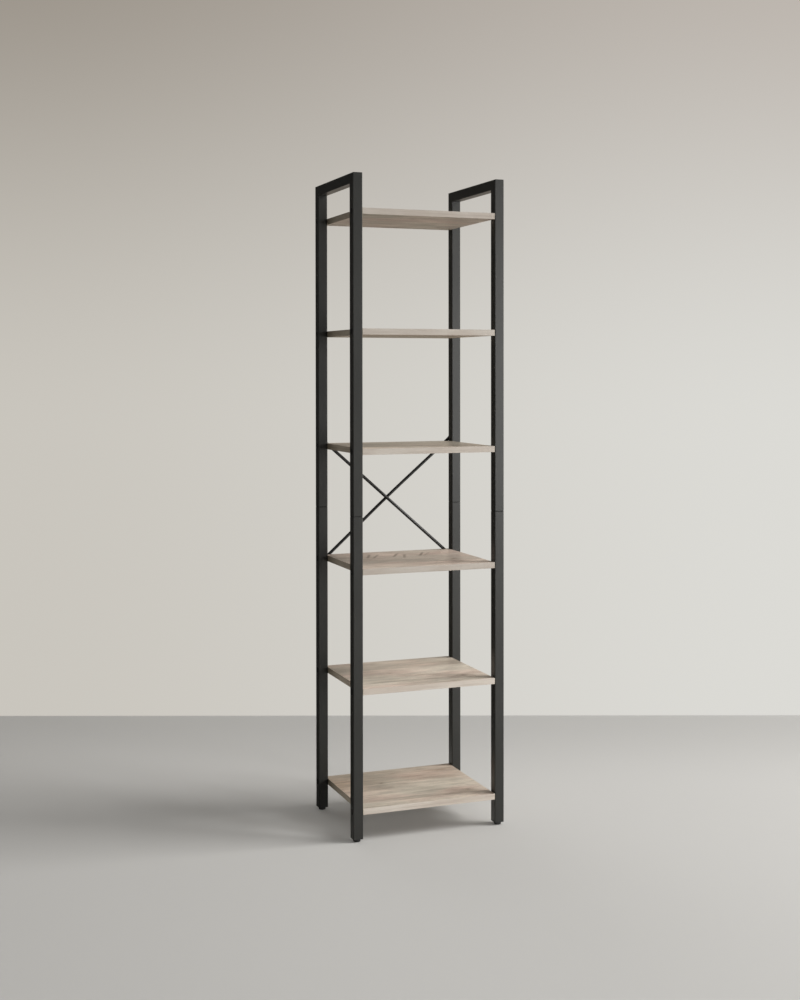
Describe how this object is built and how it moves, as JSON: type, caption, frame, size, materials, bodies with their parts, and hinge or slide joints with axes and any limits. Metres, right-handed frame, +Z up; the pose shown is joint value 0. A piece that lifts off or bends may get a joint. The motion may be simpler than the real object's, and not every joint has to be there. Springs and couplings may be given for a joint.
{
  "type": "bookcase",
  "caption": "Tall narrow industrial bookcase: black square-tube side frames hold wood-grain shelves between them, with a crossed rod brace behind and screw-adjustable feet.",
  "frame": {"origin": "on the floor, in the middle of the bookcase's box", "axes": "+Z up, +X to the right seen from the front, front faces -Y"},
  "size_m": [0.4012, 0.3166, 1.62],
  "materials": {
    "frame_tube": "matte charcoal black powder coat",
    "brace_rod": "satin black powder coat",
    "black_fastener": "black oxide, satin",
    "zinc_steel": "zinc plated",
    "shelf_board": "matte greige oak-grain laminate",
    "edge_band": "matte pale wood-grain edge band",
    "cap_plastic": "black moulded plastic",
    "coupler_plastic": "black moulded plastic",
    "foot_plastic": "black moulded plastic"
  },
  "bodies": {
    "bookcase": {"left_upper_front_post": "frame_tube", "left_lower_front_post": "frame_tube", "left_front_post_coupler": "coupler_plastic", "left_front_foot_plug": "foot_plastic", "left_upper_rear_post": "frame_tube", "left_lower_rear_post": "frame_tube", "left_rear_post_coupler": "coupler_plastic", "left_rear_foot_plug": "foot_plastic", "left_top_rail": "frame_tube", "left_shelf_bolts": "black_fastener", "left_bolt_caps": "cap_plastic", "left_shelf_insert_nuts": "zinc_steel", "right_upper_front_post": "frame_tube", "right_lower_front_post": "frame_tube", "right_front_post_coupler": "coupler_plastic", "right_front_foot_plug": "foot_plastic", "right_upper_rear_post": "frame_tube", "right_lower_rear_post": "frame_tube", "right_rear_post_coupler": "coupler_plastic", "right_rear_foot_plug": "foot_plastic", "right_top_rail": "frame_tube", "right_shelf_bolts": "black_fastener", "right_bolt_caps": "cap_plastic", "right_shelf_insert_nuts": "zinc_steel", "shelf_1_board": "shelf_board", "shelf_1_edge_bands": "edge_band", "shelf_2_board": "shelf_board", "shelf_2_edge_bands": "edge_band", "shelf_3_board": "shelf_board", "shelf_3_edge_bands": "edge_band", "shelf_4_board": "shelf_board", "shelf_4_edge_bands": "edge_band", "shelf_5_board": "shelf_board", "shelf_5_edge_bands": "edge_band", "shelf_6_board": "shelf_board", "shelf_6_edge_bands": "edge_band", "rising_brace_rod": "brace_rod", "falling_brace_rod": "brace_rod", "brace_end_screws": "black_fastener", "brace_cross_rivet": "black_fastener", "foot_nuts": "zinc_steel"},
    "left_front_pad": {"left_front_foot_pad": "foot_plastic"},
    "left_front_stud": {"left_front_foot_stud": "zinc_steel"},
    "left_rear_pad": {"left_rear_foot_pad": "foot_plastic"},
    "left_rear_stud": {"left_rear_foot_stud": "zinc_steel"},
    "right_front_pad": {"right_front_foot_pad": "foot_plastic"},
    "right_front_stud": {"right_front_foot_stud": "zinc_steel"},
    "right_rear_pad": {"right_rear_foot_pad": "foot_plastic"},
    "right_rear_stud": {"right_rear_foot_stud": "zinc_steel"}
  },
  "joints": [
    {"name": "left_front_pad_drop", "type": "slide", "parent": "bookcase", "child": "left_front_pad", "axis": [0, 0, -1], "range_m": [0, 0.01]},
    {"name": "left_front_stud_turn", "type": "hinge", "parent": "left_front_pad", "child": "left_front_stud", "pos_m": [-0.1875, -0.14575, 0], "axis": [0, 0, -1], "range_deg": [0, 3600]},
    {"name": "left_rear_pad_drop", "type": "slide", "parent": "bookcase", "child": "left_rear_pad", "axis": [0, 0, -1], "range_m": [0, 0.01]},
    {"name": "left_rear_stud_turn", "type": "hinge", "parent": "left_rear_pad", "child": "left_rear_stud", "pos_m": [-0.1875, 0.12925, 0], "axis": [0, 0, -1], "range_deg": [0, 3600]},
    {"name": "right_front_pad_drop", "type": "slide", "parent": "bookcase", "child": "right_front_pad", "axis": [0, 0, -1], "range_m": [0, 0.01]},
    {"name": "right_front_stud_turn", "type": "hinge", "parent": "right_front_pad", "child": "right_front_stud", "pos_m": [0.1875, -0.14575, 0], "axis": [0, 0, -1], "range_deg": [0, 3600]},
    {"name": "right_rear_pad_drop", "type": "slide", "parent": "bookcase", "child": "right_rear_pad", "axis": [0, 0, -1], "range_m": [0, 0.01]},
    {"name": "right_rear_stud_turn", "type": "hinge", "parent": "right_rear_pad", "child": "right_rear_stud", "pos_m": [0.1875, 0.12925, 0], "axis": [0, 0, -1], "range_deg": [0, 3600]}
  ],
  "couplings": [
    {"joint": "left_front_stud_turn", "follows": "left_front_pad_drop", "rad_per_m": 6283.2},
    {"joint": "left_rear_stud_turn", "follows": "left_rear_pad_drop", "rad_per_m": 6283.2},
    {"joint": "right_front_stud_turn", "follows": "right_front_pad_drop", "rad_per_m": 6283.2},
    {"joint": "right_rear_stud_turn", "follows": "right_rear_pad_drop", "rad_per_m": 6283.2}
  ]
}
